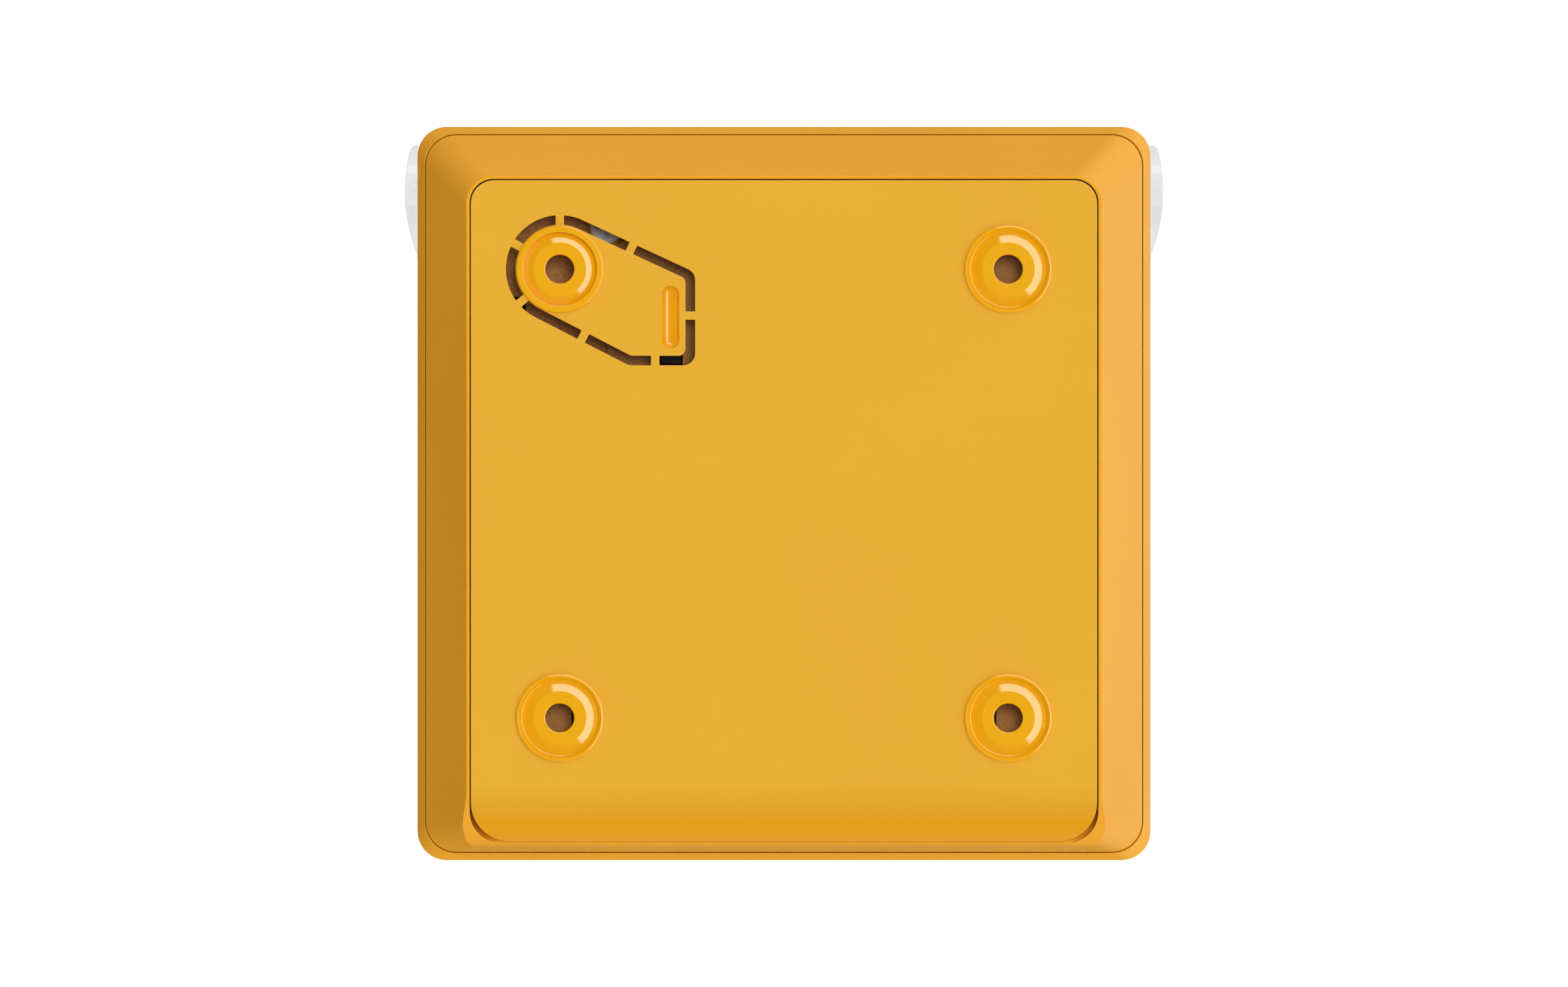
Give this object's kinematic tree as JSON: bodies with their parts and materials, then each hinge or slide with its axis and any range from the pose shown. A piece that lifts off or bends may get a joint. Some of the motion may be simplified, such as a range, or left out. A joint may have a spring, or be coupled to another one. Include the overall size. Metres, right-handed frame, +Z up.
{
  "type": "push button call point",
  "caption": "Square wall-mounted push-button call point: tapered case, flush mounting plate with a break-away tamper tab, push plate behind a clear flip-up cover.",
  "frame": {"origin": "centre of the wall-screw pattern, on the wall plane", "axes": "+Z up, +Y into the wall, so the push plate faces -Y; +X to the right as seen by the person who presses it"},
  "size_m": [0.1024, 0.0519, 0.0986],
  "materials": {
    "case_yellow": "moulded yellow plastic with a light satin sheen",
    "plate_yellow": "fine-textured satin yellow plastic",
    "clear_cover": "clear polycarbonate",
    "seal_rubber": "soft black rubber",
    "zinc_steel": "zinc-plated steel",
    "spring_steel": "bright spring steel",
    "bezel_black": "fine-textured black plastic",
    "plate_white": "white moulded plastic",
    "symbol_black": "black inlay",
    "chassis_grey": "glass-filled grey plastic",
    "board_green": "solder-masked board",
    "switch_black": "black switch body",
    "shield_tin": "tinned shield on a green carrier",
    "copper_wire": "enamelled copper wire",
    "light_guide": "clear light guide",
    "led_white": "white light source",
    "cell_wrap": "plain wrapped cell",
    "contact_metal": "nickel-plated contact"
  },
  "bodies": {
    "wall_plate": {"mounting_plate": "plate_yellow"},
    "case": {"rear_housing": "case_yellow", "front_housing": "case_yellow", "housing_seal": "seal_rubber", "case_screws": "zinc_steel", "retaining_clips": "spring_steel", "front_bezel": "bezel_black", "button_chassis": "chassis_grey", "chassis_screws": "zinc_steel", "return_springs": "spring_steel", "switch_body": "switch_black", "lever_pin": "zinc_steel", "circuit_board": "board_green", "board_screws": "zinc_steel", "radio_module": "shield_tin", "antenna": "copper_wire", "status_led": "led_white", "status_lens": "light_guide", "tamper_switch": "switch_black", "tamper_spring": "spring_steel", "battery_holder": "chassis_grey", "battery_cells": "cell_wrap", "battery_contacts": "contact_metal", "cover_pins": "clear_cover"},
    "cover": {"protective_cover": "clear_cover"},
    "button": {"push_plate": "plate_white", "press_symbol": "symbol_black"},
    "lever": {"switch_lever": "contact_metal"},
    "plunger": {"switch_plunger": "plate_white"},
    "tamper": {"tamper_plunger": "switch_black"}
  },
  "joints": [
    {"name": "case_removal", "type": "slide", "parent": "wall_plate", "child": "case", "axis": [0, -1, 0], "range_m": [0, 0.016]},
    {"name": "cover_hinge", "type": "hinge", "parent": "case", "child": "cover", "pos_m": [0, -0.0335, 0.041], "axis": [-1, 0, 0], "range_deg": [0, 150]},
    {"name": "button_press", "type": "slide", "parent": "case", "child": "button", "axis": [0, 1, 0], "range_m": [0, 0.003], "stiffness_N_per_m": 1500, "springref_m": -0.003, "deforming": ["return_springs"]},
    {"name": "lever_turn", "type": "hinge", "parent": "case", "child": "lever", "pos_m": [0.0055, -0.0347, 0], "axis": [0, 0, -1], "range_deg": [0, 15.2]},
    {"name": "plunger_slide", "type": "slide", "parent": "case", "child": "plunger", "axis": [0, 1, 0], "range_m": [0, 0.00073]},
    {"name": "tamper_slide", "type": "slide", "parent": "case", "child": "tamper", "axis": [0, 1, 0], "range_m": [0, 0.002], "deforming": ["tamper_spring"]}
  ],
  "couplings": [
    {"joint": "lever_turn", "follows": "button_press", "rad_per_m": 87.8},
    {"joint": "plunger_slide", "follows": "button_press", "ratio": 0.24},
    {"joint": "tamper_slide", "follows": "case_removal", "ratio": 0.125}
  ]
}
